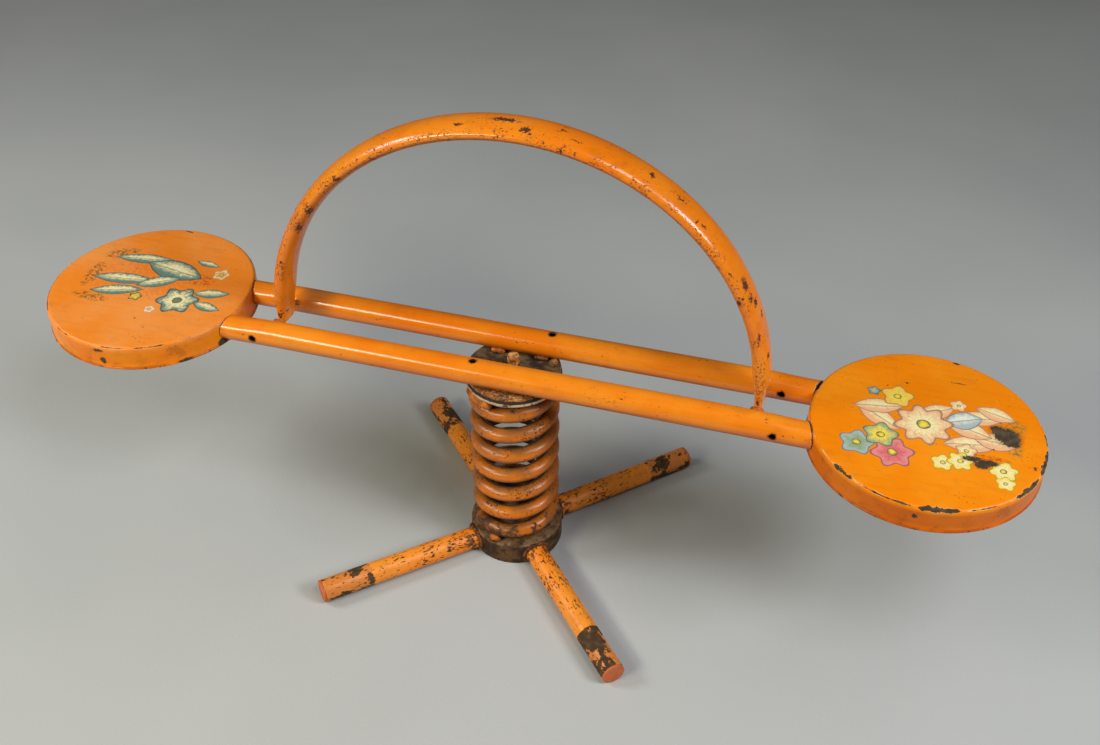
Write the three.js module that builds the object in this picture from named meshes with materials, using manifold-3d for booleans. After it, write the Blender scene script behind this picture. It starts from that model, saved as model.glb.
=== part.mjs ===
// A child's seesaw on one heavy coil spring: two round pan seats on a pair of rails, an arched
// handle between them, and a four-legged floor cross. Millimetres, +Z up, +X along the rails,
// origin on the floor at the spring's axis.
import * as THREE from 'three';
import { mergeVertices } from 'three/addons/utils/BufferGeometryUtils.js';
import Module from 'manifold-3d';

const wasm = await Module();
wasm.setup();

// Clearance between pieces that touch.
const GAP = 0.3;
// Half the length of a cutter that passes right through a piece.
const THROUGH = 400;
// Sides of the wide round pieces, and of the small holes and screws.
const WIDE = 48;
const SMALL = 16;

// Floor cross: four tube legs welded to the side of a drum-shaped hub.
const HUB = { radius: 59.5, height: 31, wall: 7, top: 8, bevel: 2 };
const LEG = { radius: 14.5, wall: 2.2, plug: 3, spigot: 8, root: 47.5, bevel: 1.6 };
const LEG_WELD = { radius: 19.5, flat: 0.42, offset: 1, from: 7.25 };
const LEGS = [
  { name: 'front_right', heading: -48, reach: 271 },
  { name: 'back_right', heading: 44, reach: 267 },
  { name: 'back_left', heading: 133, reach: 265 },
  { name: 'front_left', heading: -138, reach: 271 },
];

// Coil spring, right handed, ground against the hub below and the lower plate above.
const SPRING = { wire: 9.3, mean: 46, pitch: 33, front: -76, frontHeight: 48.5, turns: 6 };
// How far round the wire runs, in degrees: before its lowest front coil, and after its highest one.
// A higher ease levels it off sooner under the plate.
const SPRING_END = { foot: -240, tip: 314, ease: 0.7 };
const SPRING_FACETS = { around: 6, perTurn: 18 };
// Turns after the lowest front coil at which the wire is divided, one length for each moving body.
const SPRING_CUTS = [1.5, 4.5, 5.75];
// Lumps of weld against the outside of the wire. The turn is that of each lump's middle.
const SPRING_WELD = { offset: 7, thick: 6.6, height: 13, clearance: 1.2, overrun: 0.2 };
const SPRING_WELD_LOWER = { turns: [-0.075], half: 11 };
const SPRING_WELD_UPPER = { turns: [6.812, 6.856, 6.9], half: 13 };

// Plates: the lower one is a shallow cap on the spring and the upper one carries the rails.
const PLATE_LOWER = { radius: 58, bottom: 272, thickness: 4, bevel: 2.2 };
const PLATE_LIP = { inside: 56, bottom: 269 };
const PLATE_UPPER = { radius: 57, bottom: 276.3, thickness: 3.9, bevel: 0.9 };
const CENTRE_BOLT = { shank: 4.8, head: 7.4, headHeight: 11, top: 300.5, below: 4 };
const CENTRE_NUT = { corner: 9, height: 8 };
const CENTRE_WASHER = { radius: 14, thickness: 2.5 };
const SIDE_BOLT = { shank: 4, head: 5.6, headHeight: 6, x: 44.3, y: 18.8 };

// Rails: two straight tubes, their ends coped to the seats' rims.
const RAIL = { radius: 16, wall: 2, y: 36.7, z: 296.5 };
const RAIL_HOLES = { radius: 4, crossX: 312, topX: 37.5 };
const RAIL_WELD = { radius: 6, length: 10, x: 27, y: 25.5, z: 283, inner: 19.5 };

// Handle: an oval tube bent to an arch, with flattened feet between the rails.
const ARCH = { x: 289.9, rise: 294.2, springing: 304.5, lean: 0.024, thick: 10.6, wide: 22.9, wall: 1.8 };
const ARCH_FOOT = { bottom: 299, taperTop: 352, thick: 0.56, wide: 0.87 };
const ARCH_WELD = { radius: 5, long: 2.1, bite: 1, z: 306 };

// Seats: pressed pans, open underneath, with a rolled hem.
const SEAT = { radius: 127, x: 472.5, y: -2, top: 309, depth: 33, wall: 2, edge: 4.5 };
const SEAT_HEM = { radius: 1.3, up: 2.5, from: 5, step: 0.6 };

const ORANGE = { color: 0xd9741a, roughness: 0.42, metalness: 0.05 };
const RUSTY_ORANGE = { color: 0xa85a24, roughness: 0.7, metalness: 0.15 };
const BARE_STEEL = { color: 0x5a4636, roughness: 0.8, metalness: 0.4 };

const radians = THREE.MathUtils.degToRad;
const seesaw = new THREE.Group();

// ---- helpers ---------------------------------------------------------------------------------

function solid(geometry) {
  const bare = geometry.clone();
  bare.deleteAttribute('normal');
  bare.deleteAttribute('uv');
  const merged = mergeVertices(bare, 1e-4);
  return new wasm.Manifold(new wasm.Mesh({
    numProp: 3,
    vertProperties: Float32Array.from(merged.attributes.position.array),
    triVerts: Uint32Array.from(merged.index.array),
  }));
}

function surface(manifold) {
  const mesh = manifold.getMesh();
  const geometry = new THREE.BufferGeometry();
  geometry.setAttribute('position', new THREE.BufferAttribute(mesh.vertProperties, 3));
  geometry.setIndex(new THREE.BufferAttribute(mesh.triVerts, 1));
  geometry.computeVertexNormals();
  return geometry;
}

function add(name, geometry, look, parent = seesaw) {
  const mesh = new THREE.Mesh(geometry, new THREE.MeshStandardMaterial(look));
  mesh.name = name;
  parent.add(mesh);
  return mesh;
}

function largest(pieces) {
  return pieces.sort((a, b) => b.volume() - a.volume())[0];
}

// A closed round of (radius, z) points about the Z axis.
function turned(profile, sides) {
  const points = profile.map(([r, z]) => new THREE.Vector2(r, z));
  return new THREE.LatheGeometry(points, sides).rotateX(Math.PI / 2);
}

// A round bar along Z from low to high.
function rod(radius, low, high, sides = 20) {
  const bar = new THREE.CylinderGeometry(radius, radius, high - low, sides);
  return bar.rotateX(Math.PI / 2).translate(0, 0, (low + high) / 2);
}

// A six-sided bar along Z, its size measured to the corners.
function hexagon(corner, low, high) {
  return rod(corner, low, high, 6);
}

// Everything below a height, or above it.
function below(z) {
  return solid(new THREE.BoxGeometry(THROUGH, THROUGH, THROUGH).translate(0, 0, z - THROUGH / 2));
}

function above(z) {
  return below(z).translate([0, 0, THROUGH]);
}

// Everything on one side of a plane square to Y: towards the middle, or away from it.
function inward(y) {
  const slab = new THREE.BoxGeometry(2 * THROUGH, THROUGH, THROUGH);
  return solid(slab.translate(0, y - Math.sign(y) * THROUGH / 2, THROUGH / 2));
}

function outward(y) {
  return inward(y).translate([0, Math.sign(y) * THROUGH, 0]);
}

// The manifold without each of the others.
function without(body, ...others) {
  return others.reduce((part, other) => part.subtract(other), body);
}

function arc(centreR, centreZ, radius, from, to, steps) {
  return Array.from({ length: steps + 1 }, (_, i) => {
    const angle = radians(from + (to - from) * i / steps);
    return [centreR + radius * Math.cos(angle), centreZ + radius * Math.sin(angle)];
  });
}

// ---- floor cross -----------------------------------------------------------------------------

function hub() {
  const { radius, height, wall, top, bevel } = HUB;
  return turned([
    [0, height], [radius - bevel, height], [radius, height - bevel], [radius, 0],
    [radius - wall, 0], [radius - wall, height - top], [0, height - top],
  ].reverse(), WIDE);
}

// A leg lies along +X with its centre line at the leg's own radius above the floor.
function legBar(radius, from, to) {
  return rod(radius, from, to).rotateY(Math.PI / 2).translate(0, 0, LEG.radius);
}

function hubClearance() {
  return solid(rod(HUB.radius + GAP, -THROUGH, THROUGH, WIDE));
}

function legTube(reach) {
  const outside = solid(legBar(LEG.radius, LEG.root, reach - LEG.plug - GAP));
  const bore = solid(legBar(LEG.radius - LEG.wall, 0, reach));
  return surface(without(outside, bore, hubClearance()));
}

function legPlug(reach) {
  const inside = LEG.radius - LEG.wall - GAP;
  const face = reach - LEG.plug;
  const profile = [
    [0, face - LEG.spigot], [inside, face - LEG.spigot], [inside, face], [LEG.radius, face],
    [LEG.radius, reach - LEG.bevel], [LEG.radius - LEG.bevel, reach], [0, reach],
  ];
  return turned(profile, 20).rotateY(Math.PI / 2).translate(0, 0, LEG.radius);
}

function legWeld() {
  const { radius, flat, offset, from } = LEG_WELD;
  const collar = solid(new THREE.SphereGeometry(radius, 12, 8)
    .scale(flat, 1, 1).translate(HUB.radius + offset, 0, LEG.radius));
  const leg = solid(legBar(LEG.radius + GAP, 0, THROUGH));
  return surface(without(collar, leg, hubClearance(), below(from)));
}

function floorCross() {
  add('base_hub', hub(), BARE_STEEL);
  for (const { name, heading, reach } of LEGS) {
    const leg = new THREE.Group();
    leg.rotation.z = radians(heading);
    add(`leg_${name}`, legTube(reach), ORANGE, leg);
    add(`leg_plug_${name}`, legPlug(reach), RUSTY_ORANGE, leg);
    add(`leg_weld_${name}`, legWeld(), RUSTY_ORANGE, leg);
    seesaw.add(leg);
  }
}

// ---- spring ----------------------------------------------------------------------------------

// Height of the wire's centre, `turn` whole turns after the lowest front coil.
function wireHeight(turn) {
  const { wire, pitch, frontHeight, turns } = SPRING;
  const seat = HUB.height + GAP + wire;
  const ceiling = PLATE_LOWER.bottom - GAP - wire;
  const climbing = frontHeight + pitch * turn;
  if (turn <= turns) return Math.max(seat, climbing);
  const share = (turn - turns) / (SPRING_END.tip / 360);
  const start = frontHeight + pitch * turns;
  const rise = ceiling - start;
  const slope = pitch * SPRING_END.tip / 360;
  return start + slope * share + (rise - slope) * share * share * (1 + SPRING_END.ease * (1 - share));
}

class Helix extends THREE.Curve {
  constructor(from, to) {
    super();
    this.from = from;
    this.to = to;
  }

  getPoint(t, target = new THREE.Vector3()) {
    const turn = this.from + (this.to - this.from) * t;
    const angle = radians(SPRING.front) + turn * 2 * Math.PI;
    const { mean } = SPRING;
    return target.set(mean * Math.cos(angle), mean * Math.sin(angle), wireHeight(turn));
  }
}

function wireLength(from, to, radius, sides) {
  const round = new THREE.Shape().absarc(0, 0, radius, 0, 2 * Math.PI);
  return new THREE.ExtrudeGeometry(round, {
    extrudePath: new Helix(from, to),
    steps: Math.max(6, Math.round((to - from) * SPRING_FACETS.perTurn)),
    curveSegments: sides,
    bevelEnabled: false,
  });
}

function spring() {
  const first = SPRING_END.foot / 360;
  const last = SPRING.turns + SPRING_END.tip / 360;
  const stops = [first, ...SPRING_CUTS, last];
  const half = GAP / (4 * Math.PI * SPRING.mean);
  for (let i = 0; i + 1 < stops.length; i += 1) {
    const from = stops[i] + (i > 0 ? half : 0);
    const to = stops[i + 1] - (i + 2 < stops.length ? half : 0);
    add(`spring_coil_${i + 1}`, wireLength(from, to, SPRING.wire, SPRING_FACETS.around), RUSTY_ORANGE);
  }
}

// One lump of weld on the wire's outer side.
function springLump(turn, half, height) {
  const angle = radians(SPRING.front) + turn * 2 * Math.PI;
  const reach = SPRING.mean + SPRING_WELD.offset;
  return solid(new THREE.SphereGeometry(1, 12, 8).scale(SPRING_WELD.thick, half, SPRING_WELD.height)
    .rotateZ(angle)
    .translate(reach * Math.cos(angle), reach * Math.sin(angle), height));
}

// A row of merged lumps at a height. The wire passes them up to its own end.
function springWeld({ turns, half }, height, wireEnd) {
  const lumps = turns.map((turn) => springLump(turn, half, height));
  const row = lumps.reduce((all, lump) => all.add(lump));
  const wireStart = turns[0] - SPRING_WELD.overrun;
  const wire = solid(wireLength(wireStart, wireEnd, SPRING.wire + SPRING_WELD.clearance, 8));
  const inside = solid(rod(SPRING.mean, -THROUGH, THROUGH, WIDE));
  return without(row, wire, inside);
}

function springWelds() {
  const lowEnd = SPRING_WELD_LOWER.turns[0] + SPRING_WELD.overrun;
  const low = springWeld(SPRING_WELD_LOWER, HUB.height, lowEnd);
  add('spring_weld_lower', surface(without(low, below(HUB.height + GAP))), RUSTY_ORANGE);

  const wireEnd = SPRING.turns + SPRING_END.tip / 360 + GAP / (2 * Math.PI * SPRING.mean);
  const high = springWeld(SPRING_WELD_UPPER, PLATE_LOWER.bottom, wireEnd);
  const lip = solid(rod(PLATE_LOWER.radius + 2 * GAP, PLATE_LIP.bottom - GAP, THROUGH, WIDE))
    .subtract(solid(rod(PLATE_LIP.inside - GAP, 0, THROUGH, WIDE)));
  const pieces = without(high, above(PLATE_LOWER.bottom - GAP), lip).decompose();
  add('spring_weld_upper', surface(largest(pieces)), RUSTY_ORANGE);
}

// ---- plates and bolts ------------------------------------------------------------------------

// Drills a plate for the centre bolt and the two side bolts.
function drilled(disc) {
  const holes = [rod(CENTRE_BOLT.shank + GAP, 0, THROUGH)];
  for (const side of [-1, 1]) {
    const hole = rod(SIDE_BOLT.shank + GAP, 0, THROUGH, SMALL);
    holes.push(hole.translate(side * SIDE_BOLT.x, side * SIDE_BOLT.y, 0));
  }
  return surface(without(solid(disc), ...holes.map(solid)));
}

function plateLower() {
  const { radius, bottom, thickness, bevel } = PLATE_LOWER;
  const top = bottom + thickness;
  return drilled(turned([
    [0, bottom], [PLATE_LIP.inside, bottom], [PLATE_LIP.inside, PLATE_LIP.bottom],
    [radius, PLATE_LIP.bottom], [radius, top - bevel], [radius - bevel, top], [0, top],
  ], WIDE));
}

function plateUpper() {
  const { radius, bottom, thickness, bevel } = PLATE_UPPER;
  const top = bottom + thickness;
  return drilled(turned([
    [0, bottom], [radius - bevel, bottom], [radius, bottom + bevel], [radius, top], [0, top],
  ], WIDE));
}

function bolt(shank, head, low, shoulder, top) {
  const body = solid(rod(shank, low, shoulder + GAP, SMALL));
  return surface(body.add(solid(hexagon(head, shoulder, top))));
}

function centreBolt(deck) {
  const { shank, head, headHeight, top } = CENTRE_BOLT;
  const nutTop = PLATE_LOWER.bottom - GAP;
  const nutLow = nutTop - CENTRE_NUT.height;
  const bore = solid(rod(shank + GAP, 0, THROUGH));
  const ring = solid(rod(CENTRE_WASHER.radius, deck + GAP, deck + GAP + CENTRE_WASHER.thickness));
  const nut = solid(hexagon(CENTRE_NUT.corner, nutLow, nutTop));
  add('centre_bolt', bolt(shank, head, nutLow - CENTRE_BOLT.below, top - headHeight, top), RUSTY_ORANGE);
  add('centre_washer', surface(without(ring, bore)), BARE_STEEL);
  add('centre_nut', surface(without(nut, bore)), BARE_STEEL);
}

function plates() {
  const deck = PLATE_UPPER.bottom + PLATE_UPPER.thickness;
  add('plate_lower', plateLower(), BARE_STEEL);
  add('plate_upper', plateUpper(), BARE_STEEL);
  centreBolt(deck);
  for (const [name, side] of [['right', 1], ['left', -1]]) {
    const { shank, head, headHeight, x, y } = SIDE_BOLT;
    const shoulder = deck + GAP;
    const screw = bolt(shank, head, PLATE_LOWER.bottom + GAP, shoulder, shoulder + headHeight);
    add(`side_bolt_${name}`, screw, RUSTY_ORANGE).position.set(side * x, side * y, 0);
  }
}

// ---- rails -----------------------------------------------------------------------------------

function railBar(radius, half, sides = 24) {
  return rod(radius, -half, half, sides).rotateY(Math.PI / 2);
}

function railTube(side) {
  const { radius, wall } = RAIL;
  const { crossX, topX } = RAIL_HOLES;
  const cutters = [railBar(radius - wall, THROUGH + SEAT.x)];
  for (const end of [-1, 1]) {
    const rim = rod(SEAT.radius + GAP, -THROUGH, THROUGH, 96);
    cutters.push(rim.translate(end * SEAT.x, SEAT.y - side * RAIL.y, 0));
    const cross = rod(RAIL_HOLES.radius, -THROUGH, THROUGH, SMALL).rotateX(Math.PI / 2);
    cutters.push(cross.translate(end * crossX, 0, 0));
  }
  cutters.push(rod(RAIL_HOLES.radius, 0, THROUGH, SMALL).translate(side * topX, 0, 0));
  return surface(without(solid(railBar(radius, SEAT.x)), ...cutters.map(solid)));
}

function railClearance(side) {
  return solid(railBar(RAIL.radius + GAP, THROUGH).translate(0, side * RAIL.y, RAIL.z));
}

function railWeld(side, end) {
  const { radius, length, x, y, z, inner } = RAIL_WELD;
  const bead = new THREE.CapsuleGeometry(radius, length, 3, 10);
  const lump = solid(bead.rotateZ(Math.PI / 2).translate(end * x, side * y, z));
  const deck = PLATE_UPPER.bottom + PLATE_UPPER.thickness + GAP;
  return surface(without(lump, railClearance(side), below(deck), inward(side * inner)));
}

function rails() {
  for (const [name, side] of [['front', -1], ['rear', 1]]) {
    add(`rail_${name}`, railTube(side), ORANGE).position.set(0, side * RAIL.y, RAIL.z);
    for (const [hand, end] of [['left', -1], ['right', 1]]) {
      add(`rail_weld_${name}_${hand}`, railWeld(side, end), RUSTY_ORANGE);
    }
  }
}

// ---- handle ----------------------------------------------------------------------------------

class ArchLine extends THREE.Curve {
  getPoint(t, target = new THREE.Vector3()) {
    const { x, rise, springing, lean } = ARCH;
    const drop = springing - ARCH_FOOT.bottom;
    const curved = Math.PI * (x + rise) / 2;
    const along = t * (curved + 2 * drop) - drop;
    if (along < 0) return target.set(x, 0, springing + along);
    if (along > curved) return target.set(-x, 0, springing - (along - curved));
    const angle = Math.PI * along / curved;
    const height = rise * Math.sin(angle);
    return target.set(x * Math.cos(angle) + lean * height, 0, springing + height);
  }
}

function oval(thick, wide) {
  return new THREE.Shape().absellipse(0, 0, wide, thick, 0, 2 * Math.PI);
}

// Flattens both feet of the bent tube so that they pass down between the rails.
function squeezeFeet(geometry) {
  const spots = geometry.attributes.position;
  for (let i = 0; i < spots.count; i += 1) {
    const x = spots.getX(i);
    const z = spots.getZ(i);
    const share = THREE.MathUtils.smoothstep(z, ARCH_FOOT.bottom, ARCH_FOOT.taperTop);
    const height = Math.max(0, z - ARCH.springing);
    const sine = Math.min(1, height / ARCH.rise);
    const centre = Math.sign(x) * ARCH.x * Math.sqrt(1 - sine * sine) + ARCH.lean * height;
    spots.setX(i, centre + (x - centre) * (ARCH_FOOT.thick + (1 - ARCH_FOOT.thick) * share));
    spots.setY(i, spots.getY(i) * (ARCH_FOOT.wide + (1 - ARCH_FOOT.wide) * share));
  }
  return geometry;
}

function archTube(grow, hollow) {
  const section = oval(ARCH.thick + grow, ARCH.wide + grow);
  if (hollow) section.holes.push(oval(ARCH.thick - ARCH.wall, ARCH.wide - ARCH.wall));
  return squeezeFeet(new THREE.ExtrudeGeometry(section, {
    extrudePath: new ArchLine(),
    steps: 34,
    curveSegments: 8,
    bevelEnabled: false,
  }));
}

function archWeld(side, end) {
  const { radius, long, bite, z } = ARCH_WELD;
  const near = side * (RAIL.y - RAIL.radius - bite);
  const lump = solid(new THREE.SphereGeometry(radius, 10, 7).scale(long, 1, 1)
    .translate(end * ARCH.x, near, z));
  const tube = solid(archTube(GAP, false));
  const middle = side * (RAIL.y - RAIL.radius / 2);
  return surface(largest(without(lump, railClearance(side), tube, outward(middle)).decompose()));
}

function handle() {
  add('handle_arch', archTube(0, true), ORANGE);
  for (const [name, side] of [['front', -1], ['rear', 1]]) {
    for (const [hand, end] of [['left', -1], ['right', 1]]) {
      add(`arch_weld_${name}_${hand}`, archWeld(side, end), RUSTY_ORANGE);
    }
  }
}

// ---- seats -----------------------------------------------------------------------------------

function seatPan() {
  const { radius, depth, wall, edge } = SEAT;
  const hem = SEAT_HEM;
  const inside = radius - wall;
  const profile = [
    [0, 0],
    ...arc(radius - edge, -edge, edge, 90, 0, 4),
    [radius, hem.from - depth],
    ...arc(radius, hem.up - depth, hem.radius, 60, -60, 2),
    [radius - hem.step, -depth],
    [inside, -depth],
    ...arc(radius - edge, -edge, edge - wall, 0, 90, 3),
    [0, -wall],
  ];
  return turned(profile.reverse(), WIDE);
}

function seats() {
  for (const [name, end] of [['left', -1], ['right', 1]]) {
    add(`seat_${name}`, seatPan(), ORANGE).position.set(end * SEAT.x, SEAT.y, SEAT.top);
  }
}

floorCross();
spring();
springWelds();
plates();
rails();
handle();
seats();

export default seesaw;
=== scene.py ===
"""Looks of the spring seesaw: finer pieces and worn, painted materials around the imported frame.

Lengths are written in millimetres and become metres when a mesh is made. The origin is on the floor at
the spring's axis, +X runs along the rails to the right seat and +Z is up.
"""

import math

import bpy
import numpy as np
from mathutils import Matrix, Vector, noise


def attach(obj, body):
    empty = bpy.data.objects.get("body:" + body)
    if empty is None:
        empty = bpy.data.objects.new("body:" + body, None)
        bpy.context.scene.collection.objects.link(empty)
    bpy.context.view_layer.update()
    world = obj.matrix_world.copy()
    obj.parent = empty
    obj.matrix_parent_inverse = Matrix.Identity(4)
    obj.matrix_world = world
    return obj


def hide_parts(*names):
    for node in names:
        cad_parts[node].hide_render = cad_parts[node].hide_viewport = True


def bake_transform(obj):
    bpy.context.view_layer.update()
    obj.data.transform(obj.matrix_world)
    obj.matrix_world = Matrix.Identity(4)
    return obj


MM = 0.001
LOOK_SEED = 7.3

HUB = {"radius": 59.4, "height": 31, "wall": 7, "top": 8, "bevel": 2.2}
LEG = {"radius": 14.45, "wall": 2.2, "plug": 3, "boot": 66}
# A foot cap once covered a leg's last stretch, its boot. bare is how much of the boot's paint is gone,
# and low how much more of it is gone near the floor.
LEGS = {
    "front_right": {"heading": -48, "reach": 270.3, "bare": 0.5, "low": 0.02},
    "back_right": {"heading": 44, "reach": 266.0, "bare": 0.43, "low": 0.1},
    "back_left": {"heading": 133, "reach": 264.0, "bare": 0.47, "low": 0.1},
    "front_left": {"heading": -138, "reach": 270.3, "bare": 0.42, "low": 0.12},
}
SPRING = {"wire": 9.3, "mean": 46, "pitch": 33, "front": -76, "front_height": 48.5, "turns": 6}
# Turns of the wire: where it starts, how far it runs past its last full one, and where it is cut.
SPRING_FIRST = -240 / 360
SPRING_TIP = 314 / 360
SPRING_CUTS = (1.5, 4.5, 5.75)
PLATE_LOWER = {"radius": 58, "bottom": 272, "thickness": 4, "bevel": 2.2}
PLATE_LIP = {"inside": 56, "bottom": 269}
PLATE_UPPER = {"radius": 57, "bottom": 276.3, "thickness": 3.9, "bevel": 0.9}
SIDE_BOLT = {"x": 44.3, "y": 18.8, "shank": 4, "head": 5.6, "bottom": 272.3, "height": 6.3}
CENTRE_BOLT = {"shank": 4.8, "head": 7.4, "top": 300.5, "shoulder": 289.5, "below": 12}
WASHER = {"radius": 14, "thickness": 2.5, "soft": 0.6}
NUT = {"corner": 9, "height": 8, "chamfer": 0.8}
SNUG = 0.3  # gap between parts that rest on each other
RAIL = {"radius": 16, "wall": 2, "y": 36.7, "z": 296.5, "swage": 1.3, "swage_from": 285}
RAIL_HOLES = {"radius": 3.9, "cross_x": 312, "top_x": 37.5}
RAIL_SIDES = {"front": -1, "rear": 1}
COPE = 0.35  # gap between a rail's end and the seat's rim
ARCH = {"x": 289.9, "rise": 294.2, "springing": 304.5, "lean": 0.024, "thick": 10.55, "wide": 22.9}
ARCH_FOOT = {"bottom": 299, "taper_top": 352, "thick": 0.56, "wide": 0.87, "wall": 1.8}
SEAT = {"radius": 127, "x": 472.5, "y": -2, "top": 309, "depth": 33, "wall": 2, "edge": 4.4, "hem": 1.25}
CREASE = 38  # degrees between faces, above which their edge is sharp

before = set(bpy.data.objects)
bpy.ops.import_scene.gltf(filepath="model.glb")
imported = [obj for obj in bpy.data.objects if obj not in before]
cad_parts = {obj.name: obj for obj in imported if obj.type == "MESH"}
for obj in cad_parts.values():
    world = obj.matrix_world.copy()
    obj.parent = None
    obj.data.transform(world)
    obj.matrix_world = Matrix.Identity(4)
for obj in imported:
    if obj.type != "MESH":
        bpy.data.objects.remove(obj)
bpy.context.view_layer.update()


# ---- meshes ----

def loft(rings, ends="cap", crease=CREASE):
    """A mesh skinned over closed rings of points. ends is cap, or join where it closes on itself."""
    rings = np.asarray(rings, float) * MM
    count, around = rings.shape[:2]
    index = np.arange(count * around).reshape(count, around)
    following = np.roll(index, -1, axis=0) if ends == "join" else index[1:]
    faces = []
    for here, there in zip(index, following):
        faces += np.stack([here, np.roll(here, -1), np.roll(there, -1), there], 1).tolist()
    if ends == "cap":
        faces += [index[0][::-1].tolist(), index[-1].tolist()]
    mesh = bpy.data.meshes.new("loft")
    mesh.from_pydata(rings.reshape(-1, 3).tolist(), [], faces)
    return tidy(mesh, crease)


def signed_volume(mesh):
    mesh.calc_loop_triangles()
    spots = np.array([v.co for v in mesh.vertices])
    corners = spots[np.array([t.vertices for t in mesh.loop_triangles])]
    return np.einsum("ij,ij->i", corners[:, 0], np.cross(corners[:, 1], corners[:, 2])).sum()


def tidy(mesh, crease):
    """Turns the faces outwards, and shades smooth between creases."""
    if signed_volume(mesh) < 0:
        mesh.flip_normals()
    mesh.shade_smooth()
    mesh.set_sharp_from_angle(angle=math.radians(crease))
    return mesh


def polar(radius, angle, height):
    """Points round Z, from values that broadcast together. The angle is in radians."""
    radius, angle, height = np.broadcast_arrays(radius, angle, height)
    return np.stack([radius * np.cos(angle), radius * np.sin(angle), height], -1)


def full_circle(sides):
    return np.linspace(0, 2 * math.pi, sides, endpoint=False)


def turned(profile, sides):
    """Rings of a shape turned about Z, from (radius, height) points."""
    radius, height = np.asarray(profile, float).T[..., None]
    return polar(radius, full_circle(sides), height)


def sections(centres, across, upward, sides):
    """Elliptical rings round the centres, from the half axes at each one."""
    angle = full_circle(sides)[:, None]
    return centres[:, None] + across[:, None] * np.cos(angle) + upward[:, None] * np.sin(angle)


def unit(vectors):
    return vectors / np.linalg.norm(vectors, axis=1)[:, None]


def along_x(rings):
    """The same rings, turned so that their axis lies along X."""
    return rings[..., [2, 0, 1]]


def heading(rings, degrees):
    """The rings turned about Z."""
    cosine, sine = math.cos(math.radians(degrees)), math.sin(math.radians(degrees))
    return rings @ np.array([[cosine, sine, 0], [-sine, cosine, 0], [0, 0, 1]])


def arc(centre, radius, start, stop, steps):
    angle = np.radians(np.linspace(start, stop, steps + 1))
    return [(centre[0] + radius * math.cos(a), centre[1] + radius * math.sin(a)) for a in angle]


def smoothstep(value, low, high):
    share = np.clip((value - low) / (high - low), 0, 1)
    return share * share * (3 - 2 * share)


def dent(mesh, depth, size, seed=LOOK_SEED):
    """Presses the surface in, by up to depth, in soft hollows of about that size."""
    offset = Vector((seed, -seed, 2 * seed))
    hollows = [max(0, noise.noise(v.co / (size * MM) + offset)) for v in mesh.vertices]
    moves = [v.normal * (depth * MM * hollow) for v, hollow in zip(mesh.vertices, hollows)]
    for vertex, move in zip(mesh.vertices, moves):
        vertex.co -= move
    return mesh


def show(name, data):
    """A new object in the scene."""
    made = bpy.data.objects.new(name, data)
    bpy.context.scene.collection.objects.link(made)
    return made


def cut(mesh, *cutters):
    """The mesh with each cutter mesh taken out of it."""
    target = show("target", mesh)
    tools = [show("tool", cutter) for cutter in cutters]
    for tool in tools:
        change = target.modifiers.new("cut", "BOOLEAN")
        change.object = tool
        change.operation = "DIFFERENCE"
        change.solver = "EXACT"
    seen = target.evaluated_get(bpy.context.evaluated_depsgraph_get())
    result = bpy.data.meshes.new_from_object(seen)
    for spare in [target, *tools]:
        bpy.data.objects.remove(spare)
    return tidy(result, CREASE)


def piece(name, mesh, material, replaces, body=None, at=(0, 0, 0)):
    """Shows the mesh in place of a CAD node. Its own origin lies at a point in the row frame."""
    mesh.name = name
    mesh.materials.clear()
    mesh.materials.append(material)
    made = show(name, mesh)
    made.location = Vector(at) * MM
    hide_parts(replaces)
    if body:
        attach(made, body)
    return made


# ---- node trees ----

def rgb(red, green, blue):
    """A linear colour from 0 to 255 display values."""
    parts = [c / 255 for c in (red, green, blue)]
    return (*[c / 12.92 if c <= 0.04045 else ((c + 0.055) / 1.055) ** 2.4 for c in parts], 1.0)


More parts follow.
